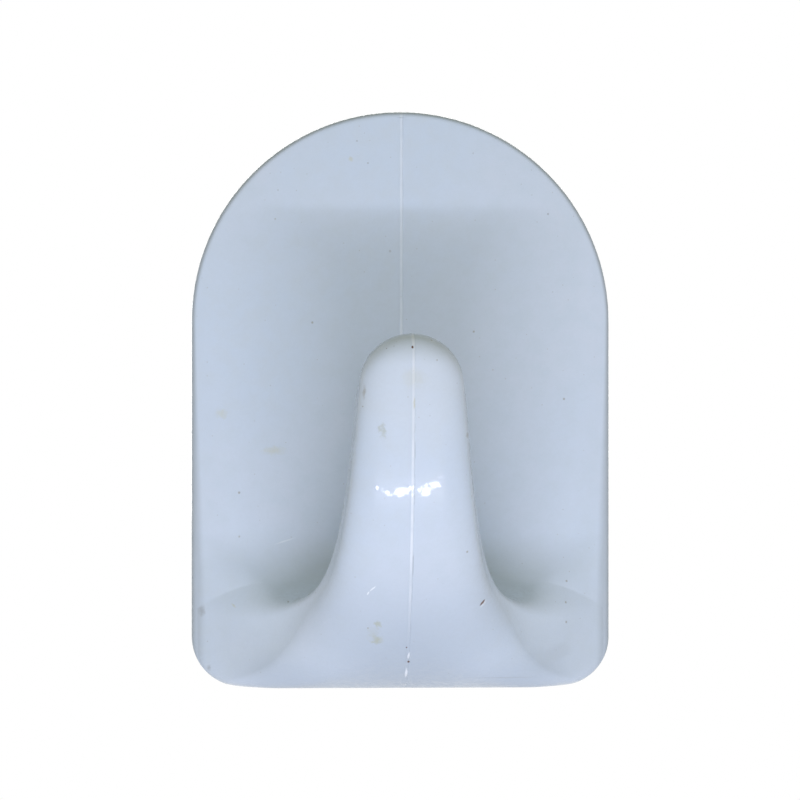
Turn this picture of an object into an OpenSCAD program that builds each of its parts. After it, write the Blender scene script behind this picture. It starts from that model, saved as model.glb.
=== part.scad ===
// Adhesive wall hook: a one-piece moulded hook with a double-sided foam pad on its back.
// Millimetres. X points to the right, the front faces -Y and Z points up.
// The wall is the plane Y = 0, and the origin is the centre of the face that sticks to it.

/* [Plate] */
// Width of the plate
plate_w = 42; // [36:0.5:50]
// Height of the plate from its lower edge to the top of the arch
plate_h = 57.7; // [52:0.1:70]
// Thickness of the plate from its back rim to its flat face
plate_t = 4.5; // [3.6:0.1:6]
// Radius of the two lower corners
corner_r = 5; // [3:0.1:8]
// Rounding of the plate's front edge
edge_r = 0.6; // [0.3:0.05:1.2]
// Rounding of the plate's back edge
rim_r = 0.2; // [0.1:0.05:0.4]

/* [Hook] */
// Distance from the plate's face to the front of the prong
reach = 22.5; // [19:0.1:26]
// Height of the prong's tip above the plate's lower edge
tip_h = 35.1; // [32:0.1:42]
// Width of the prong where its rounded tip begins
prong_w = 10; // [8:0.1:12]
// Widening of each side of the prong, per millimetre downwards
prong_taper = 0.08; // [0.02:0.01:0.12]
// Thickness of the prong at its tip, front to back
prong_t = 5.4; // [4:0.1:6.5]
// Length of the upright part of the prong's inner face below the rounded tip
upright_l = 0.9; // [0.2:0.1:4]
// Height over which the tip rounds off, seen from the side
tip_round = 3; // [2:0.1:4]
// Height above the lower edge at which the prong's front stands upright
front_h = 34; // [28:0.5:40]
// Distance from the plate's face to the point where the underside starts to rise
chin_d = 2.7; // [1:0.1:4]
// Height of the trough's floor above the plate's lower edge
trough_h = 9; // [7:0.1:11]
// Radius of the fillet between the trough's floor and the plate's face
trough_r = 6.5; // [4.5:0.1:8]
// Distance from the plate's face at which the flared base has narrowed to the prong
flare_d = 22.5; // [20:0.1:25]
// Width of the flat strip down the middle of the hook's front
front_flat = 2; // [0.5:0.1:4]
// Rounding of the base's upper edges where they run out to the plate's sides
ledge_round = 4; // [2:0.1:6]
// Rounding of the prong's inner edges
inner_round = 1.2; // [0.6:0.1:2]

/* [Hollow back] */
// Width of the rim round the back
rim_w = 2.4; // [1.6:0.1:3.5]
// Thickness of the skin left behind the plate's face
skin_t = 2; // [1.2:0.1:2.8]
// Thickness of the ribs in the back
rib_t = 1.4; // [0.8:0.1:2]
// Number of ribs across the back
rib_count = 2; // [1:1:4]
// Thickness of the wall left round the core behind the hook's root
root_wall = 2.3; // [1.5:0.1:3]
// Distance from the plate's face to the front end of the core behind the hook's root
core_d = 8; // [5:0.1:9]
// Width of the core behind the hook's root at its front end
core_tip_w = 4; // [3:0.1:5]

/* [Foam pad] */
// Distance from the plate's edge to the pad's edge
pad_inset = 1.5; // [0.8:0.1:3]
// Thickness of the foam
foam_t = 1; // [0.6:0.1:2]
// Thickness of each adhesive film
film_t = 0.1; // [0.05:0.01:0.2]

/* [Hidden] */

// Colours
plastic_white = [0.80, 0.85, 0.91];
film_clear = [0.86, 0.87, 0.82];
foam_white = [0.93, 0.93, 0.90];

// Overshoot of a cut past the face that it opens
cut_over = 1;
// Power of the blend between the flare and the lower corners
corner_blend = 3;

// Rows and columns of the moulded form
arch_rows = 14;
back_rows = 4;
heel_rows = 8;
floor_rows = 4;
bend_rows = 22;
tip_rows = 9;
face_cols = 3;
round_cols = 7;
fillet_cols = 9;
edge_cols = 4;
side_cols = 8;

// Points along each arc of a flat outline
arch_points = 48;
corner_points = 10;
core_points = 12;

// Power by which the base's sides sweep in towards the prong
flare_power = 2.6;
// Bend angles, from straight down, between which the rounding of the front's edges sets in
hull_from = -30;
hull_full = 45;
// Share of the base's thickness that the rounding of its front takes up
hull_round = 0.86;
// Bend angle past the plate's face over which the rounding of the base's upper edges sets in
ledge_full = 25;
// Bend angles between which that rounding narrows to the one of the prong's inner edges
ledge_from = -75;
ledge_to = 0;
// Largest share of a section's thickness that the rounding of one edge takes up
full_round = 0.49;
// Largest share of a section's thickness that the roundings of both edges take up
both_rounds = 0.98;

half_w = plate_w / 2;
arch_h = plate_h - half_w;
pad_t = foam_t + 2 * film_t;
tip_r = prong_w / 2;
tip_base_h = tip_h - tip_r;
throat_h = tip_base_h - upright_l;
throat_d = reach - prong_t;
pocket_floor = trough_h + trough_r + rib_t;
pocket_top = plate_h - rim_w;
core_top = trough_h - root_wall;

// Each point of the hook is first given as x, a distance d in front of the plate's face
// and a height h above the plate's lower edge
function y_of(d) = -(pad_t + plate_t + d);
function z_of(h) = h - plate_h / 2;

function mix(a, b, share) = a + (b - a) * share;
function ease(u) = let (v = min(max(u, 0), 1)) v * v * (3 - 2 * v);

// How far a rounded corner of the plate's outline lies inside its straight side, at height h
function corner_inset(h) =
    h >= corner_r ? 0 : corner_r - sqrt(max(0, corner_r * corner_r - pow(corner_r - h, 2)));

// Front and underside of the hook: a quarter ellipse from the chin up to the prong
function front_depth(h) =
    h >= front_h ? reach
    : chin_d + (reach - chin_d) * sqrt(1 - pow((front_h - h) / front_h, 2));

// Trough: a fillet off the plate's face, then a quarter ellipse up the prong's inner face.
// The angle is that of the surface's inward normal, from -90 at the plate to 90 at the prong.
function trough_point(angle) =
    angle <= 0
    ? [trough_r + trough_r * sin(angle), trough_h + trough_r - trough_r * cos(angle)]
    : let (
        wide = throat_d - trough_r,
        tall = throat_h - trough_h,
        turn = angle == 90 ? 90 : atan(wide / tall * tan(angle))
    ) [trough_r + wide * sin(turn), throat_h - tall * cos(turn)];

// Distance from a point inside the hook to the front ellipse, along a direction
function to_ellipse(point, way) =
    let (
        wide = reach - chin_d,
        p = [(point[0] - chin_d) / wide, (point[1] - front_h) / front_h],
        q = [way[0] / wide, way[1] / front_h],
        half_b = p * q,
        qq = q * q
    ) (-half_b + sqrt(half_b * half_b - qq * (p * p - 1))) / qq;

// Thickness of the hook along a direction from a point of the trough
function thickness(point, way) =
    let (
        back = way[0] < 0 ? (point[0] + plate_t) / -way[0] : plate_h,
        floor = way[1] < 0 ? point[1] / -way[1] : plate_h,
        under = point[0] + floor * way[0] <= chin_d ? floor : to_ellipse(point, way)
    ) min(back, under);

// Half width of the hook at a distance d from the plate's face and a height h: the plate with its
// rounded front edge, then a base whose sides sweep in to the tapered prong
function side_w(d, h) =
    let (
        face_w = half_w - edge_r,
        prong = tip_r + prong_taper * (tip_base_h - h),
        u = min(d / flare_d, 1)
    )
    d <= -edge_r ? half_w
    : d <= 0 ? face_w + sqrt(max(0, edge_r * edge_r - pow(d + edge_r, 2)))
    : mix(prong, face_w, pow(1 - u, flare_power));

// Distances from 0 to 1 that crowd together at the start, as on a quarter circle
function quarter(k, count) = 1 - cos(90 * k / count);

// Distances into a section at which its side has a point, between the two rounded edges:
// in front of the plate's face, round the plate's front edge, then along the plate's side
function side_steps(angle, from, to) =
    let (
        lean = -sin(angle),
        front = trough_r * (1 - lean),
        face = lean > 0 ? min(max(front / lean, from), to) : to,
        edge = lean > 0 ? min(max((front + edge_r) / lean, from), to) : to
    ) concat(
        [for (k = [1 : fillet_cols]) mix(face, from, quarter(fillet_cols - k, fillet_cols))],
        [for (k = [1 : edge_cols]) mix(face, edge, quarter(k, edge_cols))],
        [for (k = [1 : side_cols - 1]) mix(edge, to, k / side_cols)]
    );

// Half of one section, as [share of the width, inset from the side, distance into the section].
// edge_in and edge_out are the width and depth of the rounding at the inner and outer face.
function half_section(thick, edge_in, edge_out, steps) = concat(
    [for (k = [0 : face_cols - 1]) [k / face_cols, edge_in[0], 0]],
    [for (k = [0 : round_cols]) let (a = 90 * k / round_cols)
        [1, edge_in[0] * (1 - sin(a)), edge_in[1] * (1 - cos(a))]],
    [for (step = steps) [1, 0, step]],
    [for (k = [round_cols : -1 : 0]) let (a = 90 * k / round_cols)
        [1, edge_out[0] * (1 - sin(a)), thick - edge_out[1] * (1 - cos(a))]],
    [for (k = [face_cols - 1 : -1 : 0]) [k / face_cols, edge_out[0], thick]]
);

// Plate rows follow the arch from its top down to its springing line
function arch_row(angle) = [
    for (p = half_section(plate_t, [0, 0], [rim_r, rim_r], side_steps(-90, 0, plate_t - rim_r)))
        let (r = side_w(-p[2], arch_h) - p[1]) [p[0] * r * cos(angle), -p[2], arch_h + r * sin(angle)]
];

// Bend rows fan out from the trough: to the plate's back, the lower edge, then the hook's front
function bend_row(angle) =
    let (
        start = trough_point(angle),
        way = [sin(angle), -cos(angle)],
        thick = thickness(start, way),
        front = start + thick * way,
        sharpness = ease((angle - ledge_from) / (ledge_to - ledge_from)),
        hull = mix(hull_round, full_round, ease(angle / 90)),
        fullness = ease((angle - hull_from) / (hull_full - hull_from)),
        outer = mix(rim_r, side_w(front[0], front[1]) - front_flat / 2, fullness),
        outer_depth = mix(rim_r, hull * thick, fullness),
        inner = mix(ledge_round * ease((angle + 90) / ledge_full), inner_round, sharpness),
        to_face = angle < 0 ? start[0] / -way[0] : thick,
        inner_depth = min(inner, both_rounds * thick - outer_depth, to_face),
        steps = side_steps(angle, inner_depth, thick - outer_depth)
    ) [
        for (p = half_section(thick, [inner, inner_depth], [outer, outer_depth], steps))
            let (
                at = start + p[2] * way,
                inset = pow(pow(half_w - side_w(at[0], at[1]), corner_blend)
                    + pow(corner_inset(at[1]), corner_blend), 1 / corner_blend)
            ) [p[0] * (half_w - inset - p[1]), at[0], at[1]]
    ];

// Tip rows close the prong: a half circle from the front, a rounded end from the side
function tip_row(angle) =
    let (
        h = tip_base_h + tip_r * sin(angle),
        wide = tip_r * cos(angle),
        full = front_depth(h) - throat_d,
        rise = max(0, h - (tip_h - tip_round)) / tip_round,
        thick = full * sqrt(max(0, 1 - rise * rise)),
        start = throat_d + (full - thick) / 2,
        edge = full_round * thick,
        narrowing = wide / tip_r,
        edge_in = [inner_round * narrowing, min(inner_round, edge)],
        edge_out = [wide - front_flat / 2 * narrowing, edge],
        steps = side_steps(90, edge_in[1], thick - edge)
    ) [
        for (p = half_section(thick, edge_in, edge_out, steps))
            [p[0] * (wide - p[1]), start + p[2], h]
    ];

// Bend angles of the sections through the lower back edge and through the lower front edge,
// and of the one through the top of the lower corners at the back
fillet_h = trough_h + trough_r;
corner_angle = -atan((plate_t + trough_r) / (fillet_h - corner_r));
heel_angle = -atan((plate_t + trough_r) / fillet_h);
toe_angle = -atan(trough_r / fillet_h);

half_rows = concat(
    [for (k = [0 : arch_rows]) arch_row(90 - 90 * k / arch_rows)],
    [for (k = [1 : back_rows]) bend_row(mix(-90, corner_angle, k / back_rows))],
    [for (k = [1 : heel_rows]) bend_row(mix(corner_angle, heel_angle, k / heel_rows))],
    [for (k = [1 : heel_rows]) bend_row(mix(heel_angle, toe_angle, k / heel_rows))],
    [for (k = [1 : floor_rows]) bend_row(mix(toe_angle, 0, k / floor_rows))],
    [for (k = [1 : bend_rows]) bend_row(90 * k / bend_rows)],
    [for (k = [1 : tip_rows]) tip_row(90 * k / tip_rows)]
);

// A closed ring: the half section and its mirror image
function ring(half) = concat(
    [for (p = half) [p[0], y_of(p[1]), z_of(p[2])]],
    [for (k = [len(half) - 2 : -1 : 1]) [-half[k][0], y_of(half[k][1]), z_of(half[k][2])]]
);

// The moulded outer form: one closed skin through all the rings
module hook_form() {
    rings = [for (half = half_rows) ring(half)];
    count = len(rings[0]);
    points = [for (one = rings) each one];
    faces = [
        for (i = [0 : len(rings) - 2], j = [0 : count - 1])
            let (
                a = i * count + j,
                b = i * count + (j + 1) % count,
                c = b + count,
                d = a + count
            )
            for (face = [[a, b, c], [a, c, d]])
                if (points[face[0]] != points[face[1]]
                    && points[face[1]] != points[face[2]]
                    && points[face[2]] != points[face[0]])
                    face
    ];
    polyhedron(points = points, faces = faces);
}

// Outline of the plate, drawn in by a margin: an arch on a rectangle with rounded lower corners
module plate_outline(margin) {
    arch = half_w - margin;
    corner = max(corner_r - margin, rim_r);
    polygon(concat(
        [for (k = [0 : arch_points]) let (a = 180 * k / arch_points)
            [arch * cos(a), z_of(arch_h) + arch * sin(a)]],
        [for (k = [0 : corner_points]) let (a = 180 + 90 * k / corner_points)
            [-arch + corner + corner * cos(a), z_of(margin) + corner + corner * sin(a)]],
        [for (k = [0 : corner_points]) let (a = 270 + 90 * k / corner_points)
            [arch - corner + corner * cos(a), z_of(margin) + corner + corner * sin(a)]]
    ));
}

// A sheet with the outline of its children, from one distance off the wall to another
module sheet(from, to) {
    translate([0, -from, 0])
        rotate([90, 0, 0])
            linear_extrude(to - from)
                children();
}

// Pockets in the plate's back, between its rim, a rib down the middle and ribs across
module plate_pockets() {
    pitch = (pocket_top - pocket_floor + rib_t) / (rib_count + 1);
    pocket_l = pitch - rib_t;
    for (side = [-1, 1], k = [0 : rib_count])
        sheet(pad_t - cut_over, pad_t + plate_t - skin_t)
            intersection() {
                plate_outline(rim_w);
                translate([side * (half_w + rib_t) / 2, z_of(pocket_floor + k * pitch + pocket_l / 2)])
                    square([half_w, pocket_l], center = true);
            }
}

// Profile of the core behind the hook's root, which keeps an even wall under the chin
module core_profile() {
    wide = reach - chin_d - root_wall;
    tall = front_h - root_wall;
    back = -plate_t - cut_over;
    polygon(concat(
        [[y_of(back), z_of(core_top)], [y_of(back), z_of(root_wall)]],
        [for (k = [0 : core_points])
            let (h = mix(root_wall, core_top, k / core_points))
            [y_of(chin_d + wide * sqrt(1 - pow((front_h - h) / tall, 2))), z_of(h)]]
    ));
}

// The core seen from above: it narrows towards its front end so that it draws out of the back
module core_plan(side) {
    back_w = half_w - corner_r;
    polygon([
        [side * rib_t / 2, y_of(-plate_t - cut_over)],
        [side * back_w, y_of(-plate_t - cut_over)],
        [side * back_w, y_of(-plate_t)],
        [side * core_tip_w / 2, y_of(core_d)],
        [side * rib_t / 2, y_of(core_d)]
    ]);
}

// Two cores behind the hook's root, one on each side of the middle rib
module root_cores() {
    for (side = [-1, 1])
        intersection() {
            rotate([90, 0, 90])
                linear_extrude(plate_w, center = true)
                    core_profile();
            translate([0, 0, z_of(0)])
                linear_extrude(trough_h)
                    core_plan(side);
        }
}

// The hook itself: plate, flared base and prong in one moulding, hollowed from the back
module hook_body() {
    color(plastic_white)
        difference() {
            hook_form();
            plate_pockets();
            root_cores();
        }
}

// Adhesive film that bonds the foam to the hook's rim and ribs
module hook_side_adhesive() {
    color(film_clear)
        sheet(film_t + foam_t, pad_t)
            plate_outline(pad_inset);
}

// Foam sheet, cut to the plate's outline a little inside its edge
module foam_pad() {
    color(foam_white)
        sheet(film_t, film_t + foam_t)
            plate_outline(pad_inset);
}

// Adhesive film that sticks to the wall
module wall_side_adhesive() {
    color(film_clear)
        sheet(0, film_t)
            plate_outline(pad_inset);
}

hook_body();
hook_side_adhesive();
foam_pad();
wall_side_adhesive();
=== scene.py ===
import math

import bmesh
import bpy
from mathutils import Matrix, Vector, noise


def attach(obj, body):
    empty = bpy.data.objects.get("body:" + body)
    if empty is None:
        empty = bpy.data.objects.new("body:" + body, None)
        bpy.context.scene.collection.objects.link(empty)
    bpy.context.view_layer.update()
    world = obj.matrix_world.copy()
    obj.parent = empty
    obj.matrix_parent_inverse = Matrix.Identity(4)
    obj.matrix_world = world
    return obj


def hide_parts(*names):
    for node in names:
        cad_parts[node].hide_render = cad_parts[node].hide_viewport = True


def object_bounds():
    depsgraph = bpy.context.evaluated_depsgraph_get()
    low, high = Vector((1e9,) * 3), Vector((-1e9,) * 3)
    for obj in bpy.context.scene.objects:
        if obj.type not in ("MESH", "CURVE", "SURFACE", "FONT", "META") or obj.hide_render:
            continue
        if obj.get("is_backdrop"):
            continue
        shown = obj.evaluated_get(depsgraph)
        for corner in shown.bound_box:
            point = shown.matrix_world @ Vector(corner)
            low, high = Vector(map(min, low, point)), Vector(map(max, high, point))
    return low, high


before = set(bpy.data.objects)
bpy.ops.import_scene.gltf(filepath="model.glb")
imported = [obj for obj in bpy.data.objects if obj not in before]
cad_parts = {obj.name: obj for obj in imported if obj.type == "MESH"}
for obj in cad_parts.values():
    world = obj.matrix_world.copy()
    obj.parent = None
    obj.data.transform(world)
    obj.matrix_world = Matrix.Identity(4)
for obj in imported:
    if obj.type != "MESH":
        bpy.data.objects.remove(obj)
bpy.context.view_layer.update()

# Moulded hook: plate, flared base and prong in one injection moulding of glossy bluish-white
# plastic. The mould closes on the middle plane and leaves a low flash line there; the back is
# cored out between its rim and ribs. Millimetres: x across, d in front of the face, h up.
plate_w, plate_h, plate_t = 42.0, 57.7, 4.5
corner_r, edge_r, rim_r = 5.0, 0.6, 0.2
flash_h, flash_room = 0.07, 0.09
full_reach = 22.5
reach = full_reach - flash_room
tip_h, tip_w, tip_round = 35.1, 10.0, 3.0
prong_taper, prong_t, upright_l = 0.08, 5.4, 0.9
front_h, chin_d = 34.0, 2.7
trough_h, trough_r = 9.0, 6.5
flare_d, flare_power, front_flat = 22.5, 2.6, 2.0
ledge_round, inner_round = 4.0, 0.9
rim_w, skin_t, rib_t, rib_count = 2.4, 2.0, 1.4, 2
root_wall, core_d, core_tip_w = 2.3, 8.0, 4.0
pad_t = 1.2
corner_blend = 3.0
hull_from, hull_full, hull_round = -30.0, 45.0, 0.86
ledge_full, ledge_from, ledge_to = 25.0, -60.0, 25.0
full_round, both_rounds = 0.49, 0.98

half_w = plate_w / 2
arch_h = plate_h - half_w
tip_r = tip_w / 2
tip_base_h = tip_h - tip_r
throat_h = tip_base_h - upright_l
throat_d = full_reach - prong_t

# Columns across and rows along the skin; the near columns follow the flash
near_columns = [0.0, 0.06, 0.12, 0.15, 0.19, 0.26, 0.40]
far_columns, round_columns = 5, 12
fillet_columns, edge_columns, side_columns = 16, 8, 8
arch_rows, plate_rows, base_rows, toe_rows = 56, 40, 24, 14
turn_rows, prong_rows, tip_rows, turn_end = 90, 110, 36, 30
nearly_level = 1e-9


def placed(x, d, h):
    return Vector((x, -(pad_t + plate_t + d), h - plate_h / 2)) * 0.001


def mixed(a, b, share):
    return a + (b - a) * share


def eased(u):
    u = min(max(u, 0.0), 1.0)
    return u * u * (3 - 2 * u)


def lower_corner(h):
    if h >= corner_r:
        return 0.0
    return corner_r - math.sqrt(max(0.0, corner_r ** 2 - (corner_r - h) ** 2))


def front_depth(h):
    if h >= front_h:
        return reach
    return chin_d + (reach - chin_d) * math.sqrt(1 - ((front_h - h) / front_h) ** 2)


def trough_point(angle):
    a = math.radians(angle)
    if angle <= 0:
        return (trough_r + trough_r * math.sin(a), trough_h + trough_r - trough_r * math.cos(a))
    wide, tall = throat_d - trough_r, throat_h - trough_h
    turn = math.atan2(wide * math.sin(a), tall * math.cos(a))
    return (trough_r + wide * math.sin(turn), throat_h - tall * math.cos(turn))


def to_front(point, way):
    wide = reach - chin_d
    p = ((point[0] - chin_d) / wide, (point[1] - front_h) / front_h)
    q = (way[0] / wide, way[1] / front_h)
    half_b = p[0] * q[0] + p[1] * q[1]
    qq = q[0] ** 2 + q[1] ** 2
    pp = p[0] ** 2 + p[1] ** 2
    return (-half_b + math.sqrt(half_b ** 2 - qq * (pp - 1))) / qq


def section_depth(point, way):
    back = (point[0] + plate_t) / -way[0] if way[0] < -nearly_level else plate_h
    floor = point[1] / -way[1] if way[1] < -nearly_level else plate_h
    under = floor if point[0] + floor * way[0] <= chin_d else to_front(point, way)
    return min(back, under)


def half_width(d, h):
    face_w = half_w - edge_r
    if d <= -edge_r:
        return half_w
    if d <= 0:
        return face_w + math.sqrt(max(0.0, edge_r ** 2 - (d + edge_r) ** 2))
    prong = tip_r + prong_taper * (tip_base_h - h)
    u = min(d / flare_d, 1.0)
    return mixed(prong, face_w, (1 - u) ** flare_power)


def crowded(k, count):
    return 1 - math.cos(math.pi / 2 * k / count)


def side_steps(angle, first, last):
    lean = -math.sin(math.radians(angle))
    front = trough_r * (1 - lean)
    face = edge = last
    if lean > nearly_level:
        face = min(max(front / lean, first), last)
        edge = min(max((front + edge_r) / lean, first), last)
    n = fillet_columns
    return ([mixed(face, first, crowded(n - k, n)) for k in range(1, n + 1)]
            + [mixed(face, edge, crowded(k, edge_columns)) for k in range(1, edge_columns + 1)]
            + [mixed(edge, last, k / side_columns) for k in range(1, side_columns)])


def middle_columns(width):
    scale = min(1.0, width / (2 * near_columns[-1]))
    near = [x * scale for x in near_columns]
    return near + [mixed(near[-1], width, (k + 1) / (far_columns + 1)) for k in range(far_columns)]


# Half of one section as (column of a face or None, inset from the side, distance in, which face)
def half_section(thick, edge_in, edge_out, steps):
    face = range(len(near_columns) + far_columns)
    turns = [math.pi / 2 * k / round_columns for k in range(round_columns + 1)]
    return ([(k, edge_in[0], 0.0, -1) for k in face]
            + [(None, edge_in[0] * (1 - math.sin(a)), edge_in[1] * (1 - math.cos(a)), 0) for a in turns]
            + [(None, 0.0, s, 0) for s in steps]
            + [(None, edge_out[0] * (1 - math.sin(a)), thick - edge_out[1] * (1 - math.cos(a)), 0)
               for a in reversed(turns)]
            + [(k, edge_out[0], thick, 1) for k in reversed(face)])


def across(column, width):
    return width if column is None else middle_columns(width)[column]


def arch_row(angle):
    a = math.radians(angle)
    row = []
    for column, inset, s, face in half_section(
            plate_t, (0, 0), (rim_r, rim_r), side_steps(-90, 0, plate_t - rim_r)):
        r = half_width(-s, arch_h) - inset
        out = (1.0, 0.0) if face == -1 else None
        row.append((across(column, r * math.cos(a)), -s, arch_h + r * math.sin(a), out))
    return row


def plate_row(h):
    return [(x, d, h, out) for x, d, _, out in arch_row(0)]


def bend_row(angle):
    start = trough_point(angle)
    way = (math.sin(math.radians(angle)), -math.cos(math.radians(angle)))
    thick = section_depth(start, way)
    front = (start[0] + thick * way[0], start[1] + thick * way[1])
    sharp = eased((angle - ledge_from) / (ledge_to - ledge_from))
    hull = mixed(hull_round, full_round, eased(angle / 90))
    full = eased((angle - hull_from) / (hull_full - hull_from))
    outer = mixed(rim_r, half_width(*front) - front_flat / 2, full)
    outer_depth = mixed(rim_r, hull * thick, full)
    inner = mixed(ledge_round * eased((angle + 90) / ledge_full), inner_round, sharp)
    to_face = start[0] / -way[0] if angle < 0 else thick
    inner_depth = min(inner, both_rounds * thick - outer_depth, to_face)
    row = []
    for column, inset, s, face in half_section(
            thick, (inner, inner_depth), (outer, outer_depth),
            side_steps(angle, inner_depth, thick - outer_depth)):
        d, h = start[0] + s * way[0], start[1] + s * way[1]
        drawn_in = ((half_w - half_width(d, h)) ** corner_blend
                    + lower_corner(h) ** corner_blend) ** (1 / corner_blend)
        out = None
        if face == -1 or (face == 1 and angle >= 0):
            out = (face * way[0], face * way[1])
        row.append((across(column, half_w - drawn_in - inset), d, h, out))
    return row


def tip_row(angle):
    a = math.radians(angle)
    h, wide = tip_base_h + tip_r * math.sin(a), tip_r * math.cos(a)
    full = front_depth(h) - throat_d
    rise = max(0.0, h - (tip_h - tip_round)) / tip_round
    thick = full * math.sqrt(max(0.0, 1 - rise ** 2))
    start = throat_d + (full - thick) / 2
    edge = full_round * thick
    narrowing = wide / tip_r
    edge_in = (inner_round * narrowing, min(inner_round, edge))
    edge_out = (wide - front_flat / 2 * narrowing, edge)
    return [(across(column, wide - inset), start + s, h, (face, 0.0) if face else None)
            for column, inset, s, face in half_section(
                thick, edge_in, edge_out, side_steps(90, edge_in[1], thick - edge))]


fillet_h = trough_h + trough_r
corner_angle = -math.degrees(math.atan((plate_t + trough_r) / (fillet_h - corner_r)))
heel_angle = -math.degrees(math.atan((plate_t + trough_r) / fillet_h))
toe_angle = -math.degrees(math.atan(trough_r / fillet_h))


def stepped(first, last, count):
    return [mixed(first, last, k / count) for k in range(1, count + 1)]


hook_rows = ([arch_row(90 - 90 * k / arch_rows) for k in range(arch_rows + 1)]
             + [plate_row(h) for h in stepped(arch_h, fillet_h, plate_rows)]
             + [bend_row(a) for a in stepped(-90, corner_angle, base_rows)]
             + [bend_row(a) for a in stepped(corner_angle, heel_angle, base_rows)]
             + [bend_row(a) for a in stepped(heel_angle, toe_angle, base_rows)]
             + [bend_row(a) for a in stepped(toe_angle, 0, toe_rows)]
             + [bend_row(a) for a in stepped(0, turn_end, turn_rows)]
             + [bend_row(a) for a in stepped(turn_end, 90, prong_rows)]
             + [tip_row(a) for a in stepped(0, 90, tip_rows)])

# Height of the flash over the middle plane: a low band with a steep right side and a faint groove
flash_shape = [(-0.40, 0.0), (-0.26, 0.06), (-0.19, 0.32), (-0.15, 0.55), (-0.12, 0.7), (-0.06, 0.92),
               (0.0, 1.0), (0.06, 1.0), (0.12, 0.92), (0.15, 0.6), (0.19, -0.22), (0.26, -0.1), (0.40, 0.0)]


def flash(x):
    for (x0, y0), (x1, y1) in zip(flash_shape, flash_shape[1:]):
        if x0 <= x <= x1:
            return flash_h * mixed(y0, y1, (x - x0) / (x1 - x0))
    return 0.0


# What is left of the gate where the plastic entered: a trimmed nub, a pit under it and a bead,
# each with its height up the hook, place across, reach across and up, and rise
gate_marks = [(3.75, 0.10, 0.15, 0.50, 0.11),
              (3.06, 0.12, 0.12, 0.16, -0.08),
              (1.87, 0.0, 0.14, 0.14, 0.06)]
gate_top = 6.0


def gate(x, d, h):
    if d < 0 or h > gate_top:
        return 0.0
    return sum(tall * math.exp(-((x - x0) / wide) ** 2 - ((h - h0) / long) ** 2)
               for h0, x0, wide, long, tall in gate_marks)


flash_mean, flash_vary, flash_waves, flash_seed = 0.8, 0.35, 0.5, 3.0


def moulded_point(x, d, h, out):
    if out and abs(x) < near_columns[-1]:
        worn = flash_mean + flash_vary * noise.noise((d * flash_waves, h * flash_waves, flash_seed))
        lift = flash(x) * worn
        if out[1] <= 0 and out[0] > 0:
            lift += gate(x, d, h)
        d, h = d + lift * out[0], h + lift * out[1]
    return placed(x, d, h)


weld_gap, sliver = 2e-7, 1e-8


def closed_mesh(name, points, faces):
    mesh = bpy.data.meshes.new(name)
    mesh.from_pydata(points, [], faces)
    skin = bmesh.new()
    skin.from_mesh(mesh)
    bmesh.ops.remove_doubles(skin, verts=skin.verts, dist=weld_gap)
    bmesh.ops.dissolve_degenerate(skin, edges=skin.edges, dist=sliver)
    bmesh.ops.recalc_face_normals(skin, faces=skin.faces)
    skin.to_mesh(mesh)
    skin.free()
    piece = bpy.data.objects.new(name, mesh)
    bpy.context.scene.collection.objects.link(piece)
    return piece


def lofted(name, rings, capped=False):
    count = len(rings[0])
    points = [p for ring in rings for p in ring]
    faces = [(i * count + j, i * count + (j + 1) % count,
              (i + 1) * count + (j + 1) % count, (i + 1) * count + j)
             for i in range(len(rings) - 1) for j in range(count)]
    if capped:
        faces += [tuple(range(count)), tuple(range(len(points) - count, len(points)))]
    return closed_mesh(name, points, faces)


hook_rings = []
for row in hook_rows:
    right = [moulded_point(x, d, h, out) for x, d, h, out in row]
    left = [moulded_point(-x, d, h, out) for x, d, h, out in reversed(row[1:-1])]
    hook_rings.append(right + left)
hook = lofted("moulded_hook", hook_rings)


# Half width of the plate's outline, drawn in by a margin
def outline_width(h, margin):
    arch = half_w - margin
    if h > arch_h:
        return math.sqrt(max(0.0, arch ** 2 - (h - arch_h) ** 2))
    corner = corner_r - margin
    up = h - margin
    if up < corner:
        return arch - corner + math.sqrt(max(0.0, corner ** 2 - (corner - up) ** 2))
    return arch


# The cores of the back: a pocket between each pair of ribs and two deeper ones behind the root
cores = []
core_steps, core_rings, core_over = 24, 14, 1.0
pocket_floor, pocket_top = fillet_h + rib_t, plate_h - rim_w
pitch = (pocket_top - pocket_floor + rib_t) / (rib_count + 1)
for side in (-1, 1):
    for k in range(rib_count + 1):
        low = pocket_floor + k * pitch
        high = min(low + pitch - rib_t, arch_h + math.sqrt((half_w - rim_w) ** 2 - rib_t ** 2 / 4))
        heights = [mixed(low, high, n / core_steps) for n in range(core_steps + 1)]
        outline = [(outline_width(h, rim_w), h) for h in heights] + [(rib_t / 2, high), (rib_t / 2, low)]
        cores.append(lofted("pocket_core", [[placed(side * x, d, h) for x, h in outline]
                                            for d in (-plate_t - core_over, -skin_t)], capped=True))
    core_top = trough_h - root_wall
    wide, tall = full_reach - chin_d - root_wall, front_h - root_wall
    back_w = half_w - corner_r
    depths = [mixed(chin_d, core_d, n / core_rings) for n in range(core_rings + 1)]
    rings = []
    for d in [-plate_t - core_over, -plate_t] + depths:
        under = root_wall if d <= chin_d else front_h - tall * math.sqrt(1 - ((d - chin_d) / wide) ** 2)
        x = mixed(back_w, core_tip_w / 2, max(0.0, (d + plate_t) / (core_d + plate_t)))
        rings.append([placed(side * rib_t / 2, d, under), placed(side * x, d, under),
                      placed(side * x, d, core_top), placed(side * rib_t / 2, d, core_top)])
    cores.append(lofted("root_core", rings, capped=True))
for core in cores:
    cut = hook.modifiers.new("core", "BOOLEAN")
    cut.operation, cut.solver, cut.object = "DIFFERENCE", "MANIFOLD", core
bpy.context.view_layer.update()
moulded = bpy.data.meshes.new_from_object(hook.evaluated_get(bpy.context.evaluated_depsgraph_get()))
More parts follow.
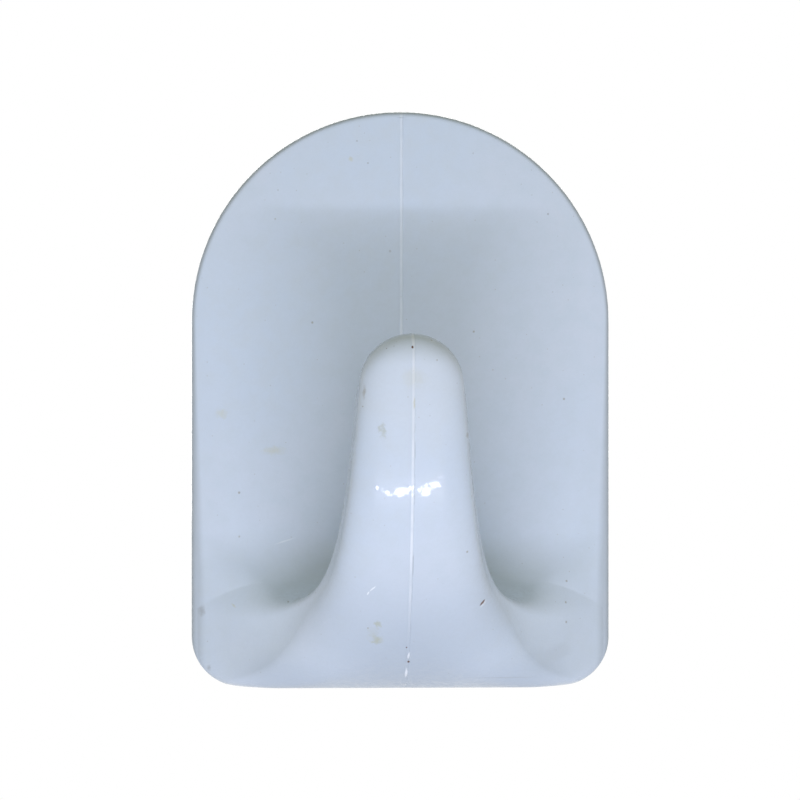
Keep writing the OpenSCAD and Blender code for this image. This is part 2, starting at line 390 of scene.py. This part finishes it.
hook.modifiers.clear()
hook.data = moulded
for core in cores:
    bpy.data.objects.remove(core)


def smoothed(piece, crease):
    skin = bmesh.new()
    skin.from_mesh(piece.data)
    for face in skin.faces:
        face.smooth = True
    for edge in skin.edges:
        edge.smooth = len(edge.link_faces) == 2 and edge.calc_face_angle(0.0) < math.radians(crease)
    skin.to_mesh(piece.data)
    skin.free()


hook_crease = 38
smoothed(hook, hook_crease)
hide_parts("hook_body")
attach(hook, "root")


def wire(tree, kind, inputs=None, **settings):
    made = tree.nodes.new("ShaderNode" + kind)
    for name, value in settings.items():
        setattr(made, name, value)
    for name, value in (inputs or {}).items():
        if isinstance(value, bpy.types.NodeSocket):
            tree.links.new(value, made.inputs[name])
        else:
            made.inputs[name].default_value = value
    return made


def blended(tree, share, under, over, way="MIX"):
    return wire(tree, "Mix", {0: share, 6: under, 7: over}, data_type="RGBA", blend_type=way).outputs[2]


def reckon(tree, operation, a, b=0.0, c=0.0):
    return wire(tree, "Math", {0: a, 1: b, 2: c}, operation=operation).outputs[0]


def spread(tree, value, low, high, new_low=0.0, new_high=1.0):
    return wire(tree, "MapRange", {"Value": value, 1: low, 2: high, 3: new_low, 4: new_high},
                interpolation_type="SMOOTHSTEP").outputs[0]


def cloudy(tree, position, scale, detail=2.0, rough=0.5):
    return wire(tree, "TexNoise", {"Vector": position, "Scale": scale, "Detail": detail,
                                   "Roughness": rough}).outputs[0]


def millimetres(tree):
    coordinates = wire(tree, "TexCoord")
    return wire(tree, "VectorMath", {0: coordinates.outputs["Object"], "Scale": 1000.0},
                operation="SCALE").outputs[0]


def new_material(name):
    material = bpy.data.materials.new(name)
    material.use_nodes = True
    return material, material.node_tree, material.node_tree.nodes["Principled BSDF"]


# A node group that turns a position into a mask, with its other inputs named
def mask_group(name, inputs):
    group = bpy.data.node_groups.new(name, "ShaderNodeTree")
    group.interface.new_socket("Position", in_out="INPUT", socket_type="NodeSocketVector")
    for label, value in inputs.items():
        kind = "NodeSocketVector" if isinstance(value, tuple) else "NodeSocketFloat"
        group.interface.new_socket(label, in_out="INPUT", socket_type=kind).default_value = value
    group.interface.new_socket("Mask", in_out="OUTPUT", socket_type="NodeSocketFloat")
    given = group.nodes.new("NodeGroupInput").outputs
    mask = group.nodes.new("NodeGroupOutput").inputs["Mask"]
    return group, given, mask


def masked(tree, group, position, **inputs):
    return wire(tree, "Group", {"Position": position, **inputs}, node_tree=group).outputs["Mask"]


# Soft clouds: slow patches of tint or gloss
soft_clouds, given, mask = mask_group("soft_clouds", {"Scale": 0.1, "Low": 0.35, "High": 0.65})
patches = wire(soft_clouds, "TexNoise", {"Vector": given["Position"], "Scale": given["Scale"],
                                         "Detail": 3.0, "Roughness": 0.45}).outputs[0]
soft_clouds.links.new(spread(soft_clouds, patches, given["Low"], given["High"]), mask)

# Dust: a few small round specks, one in some of the cells of a loose scatter
dust, given, mask = mask_group("dust", {"Scale": 1.0, "Share": 0.2, "Size": 0.1})
cells = wire(dust, "TexVoronoi", {"Vector": given["Position"], "Scale": given["Scale"]})
draw = wire(dust, "SeparateColor", {0: cells.outputs["Color"]}).outputs[0]
chosen = reckon(dust, "LESS_THAN", draw, given["Share"])
full_share = 0.4
full_size = reckon(dust, "MULTIPLY", given["Size"], full_share)
spot = spread(dust, cells.outputs["Distance"], given["Size"], full_size)
dust.links.new(reckon(dust, "MULTIPLY", spot, chosen), mask)

# Mark for stains, painted light and painted shade: one mark round a centre, with a reach along each axis,
# turned about the line of sight
stain_and_painted_light, given, mask = mask_group("stain_and_painted_light", {
    "Centre": (0.0, 0.0, 0.0), "Reach": (1.0, 1.0, 1.0), "Turn": 0.0, "Ragged": 0.0,
    "Soft": 0.5, "Strength": 1.0})
away = wire(stain_and_painted_light, "VectorMath", {0: given["Position"], 1: given["Centre"]},
            operation="SUBTRACT").outputs[0]
tatter_scale, noise_mean = 2.4, (0.5, 0.5, 0.5)
tatter = wire(stain_and_painted_light, "TexNoise", {"Vector": given["Position"], "Scale": tatter_scale,
                                  "Detail": 3.0}).outputs["Color"]
tatter = wire(stain_and_painted_light, "VectorMath", {0: tatter, 1: noise_mean}, operation="SUBTRACT").outputs[0]
tatter = wire(stain_and_painted_light, "VectorMath", {0: tatter, "Scale": given["Ragged"]}, operation="SCALE").outputs[0]
away = wire(stain_and_painted_light, "VectorMath", {0: away, 1: tatter}, operation="ADD").outputs[0]
away = wire(stain_and_painted_light, "VectorRotate", {"Vector": away, "Angle": given["Turn"]},
            rotation_type="Y_AXIS").outputs[0]
away = wire(stain_and_painted_light, "VectorMath", {0: away, 1: given["Reach"]}, operation="DIVIDE").outputs[0]
away = wire(stain_and_painted_light, "VectorMath", {0: away}, operation="LENGTH").outputs["Value"]
inside = spread(stain_and_painted_light, away, 1.0, reckon(stain_and_painted_light, "SUBTRACT", 1.0, given["Soft"]))
stain_and_painted_light.links.new(reckon(stain_and_painted_light, "MULTIPLY", inside, given["Strength"]), mask)

plastic, tree, shade = new_material("bluish_white_plastic")
at = millimetres(tree)
place = wire(tree, "SeparateXYZ", {0: at}).outputs
x_mm, y_mm, z_mm = place["X"], place["Y"], place["Z"]
bluish, greyish, matted = (0.620, 0.700, 0.800, 1), (0.645, 0.704, 0.785, 1), (0.618, 0.688, 0.765, 1)
colour = blended(tree, masked(tree, soft_clouds, at, Scale=0.05), bluish, greyish)
colour = blended(tree, masked(tree, soft_clouds, at, Scale=0.55, Low=0.3, High=0.8), colour, matted)

# The flash catches the light, painted here as a whiter band (painted highlight), less on the plate above
# the prong, and a grey line runs along its right side, mostly on the lower part
flash_white, groove_grey = (0.86, 0.90, 0.95, 1), (0.36, 0.40, 0.42, 1)
band_low, band_high, band_soft = -0.04, 0.12, 0.10
band_least, band_most, band_on_plate = 0.30, 0.75, 0.55
prong_z, plate_z = 5.0, 9.0
band = reckon(tree, "MULTIPLY", spread(tree, x_mm, band_low - band_soft, band_low),
              spread(tree, x_mm, band_high + band_soft, band_high))
sheen_vary = spread(tree, cloudy(tree, at, 0.5, 3.0), 0.25, 0.6, band_least, band_most)
flash_sheen = reckon(tree, "MULTIPLY", band, sheen_vary)
flash_sheen = reckon(tree, "MULTIPLY", flash_sheen, spread(tree, z_mm, prong_z, plate_z, 1.0, band_on_plate))
colour = blended(tree, flash_sheen, colour, flash_white)
# A grey line along the flash's right side, stronger towards the bottom
groove_x, groove_core, groove_soft = 0.22, 0.02, 0.09
groove_least, groove_most, groove_above = 0.08, 0.55, 0.3
groove_faint_z, groove_full_z = 1.0, -6.0
groove = reckon(tree, "ABSOLUTE", reckon(tree, "SUBTRACT", x_mm, groove_x))
groove = reckon(tree, "MULTIPLY", spread(tree, groove, groove_soft, groove_core),
                spread(tree, cloudy(tree, at, 0.35, 3.0), 0.42, 0.62, groove_least, groove_most))
groove = reckon(tree, "MULTIPLY", groove, spread(tree, z_mm, groove_faint_z, groove_full_z, groove_above, 1.0))
colour = blended(tree, groove, colour, groove_grey)

# Marks, broad soft patches first and then stains, scratches and specks: tint, centre and
# reach in millimetres, turn in degrees, raggedness, softness and strength. The broad patches are painted
# light and shade
brown, rust, sallow = (0.31, 0.27, 0.19, 1), (0.13, 0.05, 0.025, 1), (0.60, 0.60, 0.47, 1)
olive, grey, pale = (0.46, 0.49, 0.41, 1), (0.34, 0.35, 0.35, 1), (0.85, 0.89, 0.94, 1)
# Painted light on the upper prong and in the pockets, painted shade on the base underneath
painted_light_prong, painted_light_pocket, painted_shade_base = (0.70, 0.745, 0.79, 1), (0.69, 0.77, 0.87, 1), (0.49, 0.555, 0.63, 1)
marks = [
    # Painted light: the upper prong's front made lighter and less blue
    (painted_light_prong, (0.0, -27.0, 1.0), (8.0, 7.0, 9.0), 0, 0.0, 0.7, 0.4),
    # Painted light: the pockets beside the prong and their flanks made lighter, lifting their shade
    (painted_light_pocket, (-12.5, -11.0, -19.5), (8.0, 8.0, 6.5), 0, 0.0, 0.9, 1.0),
    (painted_light_pocket, (12.5, -11.0, -19.5), (8.0, 8.0, 6.5), 0, 0.0, 0.9, 1.0),
    # Painted shade: the base underneath and its lower corners made darker
    (painted_shade_base, (0.0, -16.0, -25.5), (14.0, 17.0, 14.0), 0, 0.0, 0.9, 1.0),
    (painted_shade_base, (-11.0, -11.0, -28.2), (8.0, 9.0, 4.2), 0, 0.0, 0.9, 0.8),
    (painted_shade_base, (11.0, -11.0, -28.2), (8.0, 9.0, 4.2), 0, 0.0, 0.9, 0.8),
    (rust, (-0.06, -27.72, 4.92), (0.13, 0.6, 0.17), 0, 0.02, 0.5, 0.95),
    (rust, (-2.51, -27.23, 4.79), (0.08, 0.5, 0.08), 0, 0.0, 0.8, 0.5),
    (rust, (-1.81, -27.40, 5.02), (0.08, 0.5, 0.07), 0, 0.0, 0.8, 0.4),
    (sallow, (0.07, -28.08, 1.97), (1.6, 1.0, 1.3), 0, 1.0, 0.8, 0.24),
    (sallow, (0.10, -28.0, -0.45), (0.14, 1.0, 0.75), 0, 0.2, 0.7, 0.6),
    (brown, (-4.63, -26.55, 0.63), (0.22, 0.6, 0.95), 4, 0.4, 1.0, 0.5),
    (brown, (-4.75, -26.5, -0.75), (0.09, 0.5, 0.09), 0, 0.0, 0.7, 0.6),
    (olive, (-2.95, -27.28, -3.0), (0.45, 0.8, 1.15), 0, 1.4, 1.0, 0.6),
    (brown, (5.4, -25.6, -3.5), (0.28, 0.8, 0.35), 0, 0.5, 0.9, 0.4),
    (sallow, (-12.76, -5.7, -5.25), (1.5, 0.6, 0.7), 0, 1.2, 0.9, 0.45),
    (sallow, (-17.97, -5.7, -1.53), (0.8, 0.6, 0.6), 0, 0.8, 0.9, 0.4),
    (sallow, (-5.03, -5.7, 24.08), (0.35, 0.5, 0.35), 0, 0.3, 0.8, 0.6),
    (pale, (-11.66, -5.8, -14.28), (1.4, 0.6, 0.13), -18, 0.1, 0.8, 0.5),
    (olive, (-2.98, -20.0, -21.95), (0.36, 1.5, 0.55), 0, 1.0, 0.8, 0.75),
    (olive, (-3.02, -18.9, -23.50), (0.72, 1.6, 0.66), -8, 1.4, 0.8, 0.8),
    (olive, (-3.40, -19.3, -23.00), (0.85, 1.6, 1.40), -8, 1.5, 1.0, 0.3),
    (brown, (-3.95, -19.6, -22.3), (0.09, 0.6, 0.09), 0, 0.0, 0.6, 0.7),
    # Painted glint on a nick, over its dark stain
    (pale, (7.33, -19.3, -19.95), (0.62, 0.7, 0.22), -50, 0.1, 0.6, 0.5),
    (rust, (7.23, -19.39, -19.85), (0.50, 0.7, 0.12), -50, 0.12, 0.5, 0.9),
    # Painted glints on a scratch
    (pale, (-3.62, -22.3, -18.38), (0.55, 0.7, 0.09), -42, 0.12, 0.6, 0.9),
    (pale, (-4.05, -22.0, -18.82), (0.25, 0.7, 0.10), -60, 0.05, 0.6, 0.9),
    (pale, (0.13, -17.5, -25.1), (0.14, 0.8, 0.50), 6, 0.05, 0.5, 0.9),
    (pale, (0.03, -15.0, -26.98), (0.19, 1.5, 1.0), 0, 0.15, 0.7, 0.9),
    (rust, (0.16, -16.75, -25.79), (0.16, 0.5, 0.15), 0, 0.1, 0.4, 0.9),
    (rust, (-0.12, -18.33, -24.27), (0.09, 0.5, 0.09), 0, 0.0, 0.5, 0.85),
    (grey, (-4.43, -5.7, 25.89), (0.13, 0.5, 0.12), 0, 0.05, 0.7, 0.6),
    (grey, (-3.32, -5.7, 23.68), (0.13, 0.5, 0.12), 0, 0.05, 0.7, 0.6),
    (grey, (-12.36, -5.7, 20.94), (0.12, 0.5, 0.12), 0, 0.05, 0.7, 0.5),
    (grey, (14.82, -5.7, 18.60), (0.14, 0.5, 0.14), 0, 0.05, 0.7, 0.7),
    (grey, (-1.11, -5.7, 14.84), (0.17, 0.5, 0.20), 0, 0.1, 0.8, 0.5),
    (brown, (2.28, -27.86, 3.68), (0.10, 0.5, 0.10), 0, 0.0, 0.7, 0.6),
    (grey, (-11.53, -12.49, -20.03), (0.15, 0.6, 0.13), 0, 0.05, 0.6, 0.75),
    (grey, (-20.0, -5.9, -21.26), (0.5, 1.2, 0.75), 0, 0.5, 0.9, 0.55),
    (grey, (-19.3, -6.3, -26.95), (0.35, 1.0, 0.40), 0, 0.4, 0.9, 0.45),
    (sallow, (-16.86, -8.1, -20.62), (0.45, 0.7, 0.14), 42, 0.1, 0.8, 0.6),
    (grey, (15.5, -9.35, -25.29), (2.7, 2.5, 1.1), -12, 0.6, 0.7, 0.10),
    (grey, (9.5, -12.0, -27.60), (5.0, 3.5, 0.10), 1, 0.1, 0.7, 0.25),
]
# Each mark's mask, real stains and painted light and shade alike, also dulls the gloss
wear_and_painted_light = None
for tint, centre, extent, turn, ragged, soft, strength in marks:
    spot = masked(tree, stain_and_painted_light, at, Centre=centre, Reach=extent, Turn=math.radians(-turn),
                  Ragged=ragged, Soft=soft, Strength=strength)
    colour = blended(tree, spot, colour, tint)
    wear_and_painted_light = reckon(tree, "MAXIMUM", wear_and_painted_light, spot) if wear_and_painted_light else spot

# Painted shade greys the front edges of the plate, where they turn away from the light, more so towards the
# lower corners
edge_shade_grey, edge_shade_most, edge_shade_on_side = (0.33, 0.36, 0.37, 1), 0.48, 0.12
edge_shade_top_z, edge_shade_top_w = 10.0, 0.45
edge_shade_low_z, edge_shade_low_w = -22.0, 1.5
face_y, full_behind, end_behind = -(pad_t + plate_t), 0.5, 1.6
over_arch = reckon(tree, "MAXIMUM", reckon(tree, "SUBTRACT", z_mm, arch_h - plate_h / 2), 0.0)
outward = wire(tree, "CombineXYZ", {"X": x_mm, "Y": over_arch}).outputs[0]
from_middle = wire(tree, "VectorMath", {0: outward}, operation="LENGTH").outputs["Value"]
from_edge = reckon(tree, "SUBTRACT", half_w, from_middle)
edge_shade_w = spread(tree, z_mm, edge_shade_top_z, edge_shade_low_z, edge_shade_top_w, edge_shade_low_w)
edge_shade = reckon(tree, "SUBTRACT", 1.0, reckon(tree, "DIVIDE", from_edge, edge_shade_w))
edge_shade = reckon(tree, "MULTIPLY", spread(tree, edge_shade, 0.0, 0.75, 0.0, edge_shade_most),
                   spread(tree, y_mm, face_y + end_behind, face_y + full_behind, edge_shade_on_side, 1.0))
colour = blended(tree, edge_shade, colour, edge_shade_grey)
speck_share, fine_share = 0.55, 0.30
specks = masked(tree, dust, at, Scale=0.55, Share=0.16, Size=0.09)
colour = blended(tree, reckon(tree, "MULTIPLY", specks, speck_share), colour, brown)
fine_specks = masked(tree, dust, at, Scale=1.9, Share=0.07, Size=0.16)
colour = blended(tree, reckon(tree, "MULTIPLY", fine_specks, fine_share), colour, brown)

# The gloss is duller on the marks; a clear skin over the colour gives the broken highlight
least_rough, rough_vary, mark_rough = 0.19, 0.06, 0.15
grain_h, ripple_h, speck_h = 0.0009, 0.007, 0.012
coat_grain_h, coat_wave_h, coat_least, coat_most = 0.002, 0.085, 0.03, 0.36
bump_unit = 0.001
hazy = masked(tree, soft_clouds, at, Scale=0.3, Low=0.3, High=0.8)
rough = reckon(tree, "MULTIPLY_ADD", hazy, rough_vary, least_rough)
tree.links.new(reckon(tree, "MULTIPLY_ADD", wear_and_painted_light, mark_rough, rough), shade.inputs["Roughness"])
tree.links.new(colour, shade.inputs["Base Color"])
grain = cloudy(tree, at, 3.2, 3.0, 0.6)
ripple = cloudy(tree, at, 0.33, 1.0)
height = reckon(tree, "MULTIPLY_ADD", grain, grain_h, reckon(tree, "MULTIPLY", ripple, ripple_h))
height = reckon(tree, "MULTIPLY_ADD", specks, speck_h, height)
bump = wire(tree, "Bump", {"Strength": 1.0, "Distance": bump_unit, "Height": height})
tree.links.new(bump.outputs[0], shade.inputs["Normal"])
shade.inputs["Specular IOR Level"].default_value = 0.08
patchy = spread(tree, cloudy(tree, at, 1.7, 2.0, 0.6), 0.47, 0.56, coat_least, coat_most)
tree.links.new(patchy, shade.inputs["Coat Weight"])
shade.inputs["Coat Roughness"].default_value = 0.03
wave = cloudy(tree, at, 0.26, 1.0)
coat_h = reckon(tree, "MULTIPLY_ADD", grain, coat_grain_h, reckon(tree, "MULTIPLY", wave, coat_wave_h))
coat_bump = wire(tree, "Bump", {"Strength": 1.0, "Distance": bump_unit, "Height": coat_h})
tree.links.new(coat_bump.outputs[0], shade.inputs["Coat Normal"])
hook.data.materials.clear()
hook.data.materials.append(plastic)

# Adhesive films: a thin tacky coat on each side of the foam, faintly yellow. One bonds the foam to
# the hook's rim and ribs, the other sticks to the wall; the foam's cells show through it.
foam_cells, given, mask = mask_group("foam_cells", {"Scale": 2.0, "Wall": 0.1})
edges = wire(foam_cells, "TexVoronoi", {"Vector": given["Position"], "Scale": given["Scale"]},
             feature="DISTANCE_TO_EDGE").outputs["Distance"]
foam_cells.links.new(spread(foam_cells, edges, given["Wall"], 0.0), mask)

film_clear, film_yellow, film_wet = (0.79, 0.78, 0.71, 1), (0.73, 0.71, 0.60, 1), (0.60, 0.58, 0.48, 1)
wall_white, bubble_white, lint_dark = (0.88, 0.88, 0.83, 1), (0.86, 0.86, 0.82, 1), (0.25, 0.23, 0.20, 1)
wall_share, wet_share, bubble_share, lint_share = 0.35, 0.22, 0.4, 0.7
bubble_h, wall_h, film_wave_h = 0.03, 0.008, 0.03
dry_rough, wet_gain = 0.48, -0.18
film, tree, shade = new_material("tacky_film")
at = millimetres(tree)
colour = blended(tree, masked(tree, soft_clouds, at, Scale=0.09, Low=0.3, High=0.7),
                 film_clear, film_yellow)
cell_walls = masked(tree, foam_cells, at, Scale=1.5, Wall=0.16)
colour = blended(tree, reckon(tree, "MULTIPLY", cell_walls, wall_share), colour, wall_white)
wet_out = masked(tree, soft_clouds, at, Scale=0.35, Low=0.45, High=0.6)
colour = blended(tree, reckon(tree, "MULTIPLY", wet_out, wet_share), colour, film_wet)
bubbles = masked(tree, dust, at, Scale=0.7, Share=0.3, Size=0.2)
colour = blended(tree, reckon(tree, "MULTIPLY", bubbles, bubble_share), colour, bubble_white)
lint = masked(tree, dust, at, Scale=1.1, Share=0.05, Size=0.1)
colour = blended(tree, reckon(tree, "MULTIPLY", lint, lint_share), colour, lint_dark)
tree.links.new(colour, shade.inputs["Base Color"])
tree.links.new(reckon(tree, "MULTIPLY_ADD", wet_out, wet_gain, dry_rough), shade.inputs["Roughness"])
height = reckon(tree, "MULTIPLY_ADD", bubbles, bubble_h, reckon(tree, "MULTIPLY", cell_walls, wall_h))
height = reckon(tree, "MULTIPLY_ADD", cloudy(tree, at, 0.4, 3.0), film_wave_h, height)
bump = wire(tree, "Bump", {"Strength": 1.0, "Distance": bump_unit, "Height": height})
tree.links.new(bump.outputs[0], shade.inputs["Normal"])
for node in ("hook_side_adhesive", "wall_side_adhesive"):
    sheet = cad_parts[node]
    sheet.data.materials.clear()
    sheet.data.materials.append(film)

# Foam sheet: soft closed-cell foam, die-cut to the plate's outline a little inside its edge. The cut
# edge draws in between the two films and shows the open cells.
pad_inset, film_t, foam_t = 1.5, 0.1, 1.0
foam_clear, waist, pit = 0.004, 0.11, 0.10
rim_points, rim_rows, foam_crease = 960, 10, 50
cell_size, cell_squash, cell_mouth, lip = 0.42, 1.3, 0.55, 3


def pad_outline(count):
    arch, corner = half_w - pad_inset, corner_r - pad_inset
    low = pad_inset
    stretches = [(math.pi * arch, lambda u: (arch * math.cos(math.pi * u),
                                             arch_h + arch * math.sin(math.pi * u))),
                 (arch_h - low - corner, lambda u: (-arch, mixed(arch_h, low + corner, u))),
                 (math.pi / 2 * corner, lambda u: (-arch + corner - corner * math.cos(math.pi / 2 * u),
                                                   low + corner - corner * math.sin(math.pi / 2 * u))),
                 (2 * (arch - corner), lambda u: (mixed(-arch + corner, arch - corner, u), low)),
                 (math.pi / 2 * corner, lambda u: (arch - corner + corner * math.sin(math.pi / 2 * u),
                                                   low + corner - corner * math.cos(math.pi / 2 * u))),
                 (arch_h - low - corner, lambda u: (arch, mixed(low + corner, arch_h, u)))]
    whole = sum(length for length, _ in stretches)
    points = []
    for length, point_at in stretches:
        share = max(2, round(count * length / whole))
        points += [point_at(k / share) for k in range(share)]
    return points


rim = pad_outline(rim_points)
foam_rings = []
for row in range(rim_rows + 1):
    through = row / rim_rows
    y = -mixed(film_t + foam_clear, film_t + foam_t - foam_clear, through)
    bow = math.sin(math.pi * through)
    ring = []
    for k, (x, h) in enumerate(rim):
        before, after = rim[k - 1], rim[(k + 1) % len(rim)]
        along = Vector((after[0] - before[0], after[1] - before[1])).normalized()
        to_cell = noise.voronoi(Vector((x, y * cell_squash, h)) / cell_size)[0][0]
        open_cell = max(0.0, cell_mouth - to_cell) / cell_mouth
        inward = waist * bow + pit * open_cell * min(1.0, lip * bow)
        ring.append(Vector((x - along.y * inward, y, h + along.x * inward - plate_h / 2)) * 0.001)
    foam_rings.append(ring)
foam = lofted("foam_sheet", foam_rings, capped=True)
smoothed(foam, foam_crease)
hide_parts("foam_pad")
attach(foam, "root")

foam_pale, foam_aged = (0.86, 0.86, 0.82, 1), (0.80, 0.79, 0.72, 1)
cell_dark, cell_share = (0.62, 0.61, 0.56, 1), 0.45
soil_brown, soil_share = (0.30, 0.28, 0.25, 1), 0.6
cell_rough, wall_gain = 0.95, -0.12
cell_wall_h, crumb_h = 0.05, 0.03
foam_white, tree, shade = new_material("closed_cell_foam")
at = millimetres(tree)
colour = blended(tree, masked(tree, soft_clouds, at, Scale=0.12, Low=0.3, High=0.7), foam_pale, foam_aged)
cell_walls = masked(tree, foam_cells, at, Scale=2.4, Wall=0.2)
# Painted shade: the foam is darker inside its cells, in the open pits
hollows = reckon(tree, "MULTIPLY_ADD", cell_walls, -cell_share, cell_share)
colour = blended(tree, hollows, colour, cell_dark)
soil = masked(tree, dust, at, Scale=1.3, Share=0.1, Size=0.14)
colour = blended(tree, reckon(tree, "MULTIPLY", soil, soil_share), colour, soil_brown)
tree.links.new(colour, shade.inputs["Base Color"])
tree.links.new(reckon(tree, "MULTIPLY_ADD", cell_walls, wall_gain, cell_rough), shade.inputs["Roughness"])
crumbs = reckon(tree, "MULTIPLY", cloudy(tree, at, 3.0, 3.0), crumb_h)
height = reckon(tree, "MULTIPLY_ADD", cell_walls, cell_wall_h, crumbs)
bump = wire(tree, "Bump", {"Strength": 1.0, "Distance": bump_unit, "Height": height})
tree.links.new(bump.outputs[0], shade.inputs["Normal"])
foam.data.materials.append(foam_white)

# Stage: a pale floor well below, since the hook hangs on a wall, and a white room whose soft light
# comes mostly from the front and above. A long thin tube lamp low in front gives the prong's shadow
# and highlight, and a square panel lights the back. Metres.
floor_z, floor_half, floor_rough, floor_pale = -0.46, 4.0, 0.9, 0.92
floor_white, floor_grey = (0.80, 0.80, 0.80, 1), (0.78, 0.78, 0.79, 1)
floor_mesh = bpy.data.meshes.new("floor")
floor_mesh.from_pydata([(x * floor_half, y * floor_half, floor_z)
                        for x, y in ((-1, -1), (1, -1), (1, 1), (-1, 1))], [], [(0, 1, 2, 3)])
floor = bpy.data.objects.new("floor", floor_mesh)
bpy.context.scene.collection.objects.link(floor)
floor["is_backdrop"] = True
pale_floor, tree, shade = new_material("pale_floor")
at = millimetres(tree)
colour = blended(tree, masked(tree, soft_clouds, at, Scale=0.01), floor_white, floor_grey)
tree.links.new(colour, shade.inputs["Base Color"])
shade.inputs["Roughness"].default_value = floor_rough


def seen_directly(tree):
    ray = wire(tree, "LightPath").outputs
    return reckon(tree, "MAXIMUM", ray["Is Camera Ray"],
                  reckon(tree, "MAXIMUM", ray["Is Glossy Ray"], ray["Is Transmission Ray"]))


white = (1, 1, 1, 1)
glow = wire(tree, "Emission", {"Color": white, "Strength": 1.0})
paper = wire(tree, "MixShader", {0: reckon(tree, "MULTIPLY", seen_directly(tree), floor_pale),
                                 1: shade.outputs[0], 2: glow.outputs[0]})
tree.links.new(paper.outputs[0], tree.nodes["Material Output"].inputs["Surface"])
floor_mesh.materials.append(pale_floor)

# Lamps and camera look at the middle of the plate's face
aim = Vector((-0.0001, -0.0057, -0.00013))


def facing(piece, azimuth, elevation, distance):
    a, e = math.radians(azimuth), math.radians(elevation)
    piece.location = aim + distance * Vector(
        (math.sin(a) * math.cos(e), -math.cos(a) * math.cos(e), math.sin(e)))
    piece.rotation_euler = (aim - piece.location).to_track_quat("-Z", "Y").to_euler()


tube_azimuth, tube_elevation, tube_d = 0.0, -30.1, 0.36
tube = bpy.data.lights.new("tube_lamp", "AREA")
tube.shape = "RECTANGLE"
tube.size, tube.size_y = 0.39, 0.009
tube.energy = 1.02
tube.color = (0.80, 0.82, 1.0)
tube_lamp = bpy.data.objects.new("tube_lamp", tube)
bpy.context.scene.collection.objects.link(tube_lamp)
facing(tube_lamp, tube_azimuth, tube_elevation, tube_d)

panel_azimuth, panel_elevation, panel_d = 180.0, 20.0, 0.6
back_panel = bpy.data.lights.new("back_panel", "AREA")
back_panel.size = 0.5
back_panel.energy = 2.0
back_lamp = bpy.data.objects.new("back_panel", back_panel)
bpy.context.scene.collection.objects.link(back_lamp)
facing(back_lamp, panel_azimuth, panel_elevation, panel_d)

dim_light, bright_light = (0.178, 0.153, 0.193, 1), (0.468, 0.497, 0.432, 1)
light_tilt = math.radians(35)
bright_side = Vector((0.0, -math.cos(light_tilt), math.sin(light_tilt)))
room = bpy.data.worlds.new("soft_room")
bpy.context.scene.world = room
room.use_nodes = True
tree = room.node_tree
towards = wire(tree, "VectorMath", {0: wire(tree, "TexCoord").outputs["Generated"], 1: bright_side},
               operation="DOT_PRODUCT").outputs["Value"]
brightness = wire(tree, "MapRange", {"Value": towards, 1: -1.0, 2: 1.0, 3: 0.0, 4: 1.0}).outputs[0]
light = blended(tree, brightness, dim_light, bright_light)
backdrop = blended(tree, seen_directly(tree), light, white)
tree.links.new(backdrop, tree.nodes["Background"].inputs["Color"])

sensor_mm, camera_d, picture_w, camera_azimuth = 36, 0.43, 0.0804, -3.0
lens = bpy.data.cameras.new("camera")
lens.lens = sensor_mm * camera_d / picture_w
lens.clip_start = 0.01
camera = bpy.data.objects.new("camera", lens)
bpy.context.scene.collection.objects.link(camera)
facing(camera, camera_azimuth, 0.0, camera_d)
bpy.context.scene.camera = camera
bpy.context.scene.view_settings.view_transform = "Standard"

low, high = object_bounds()
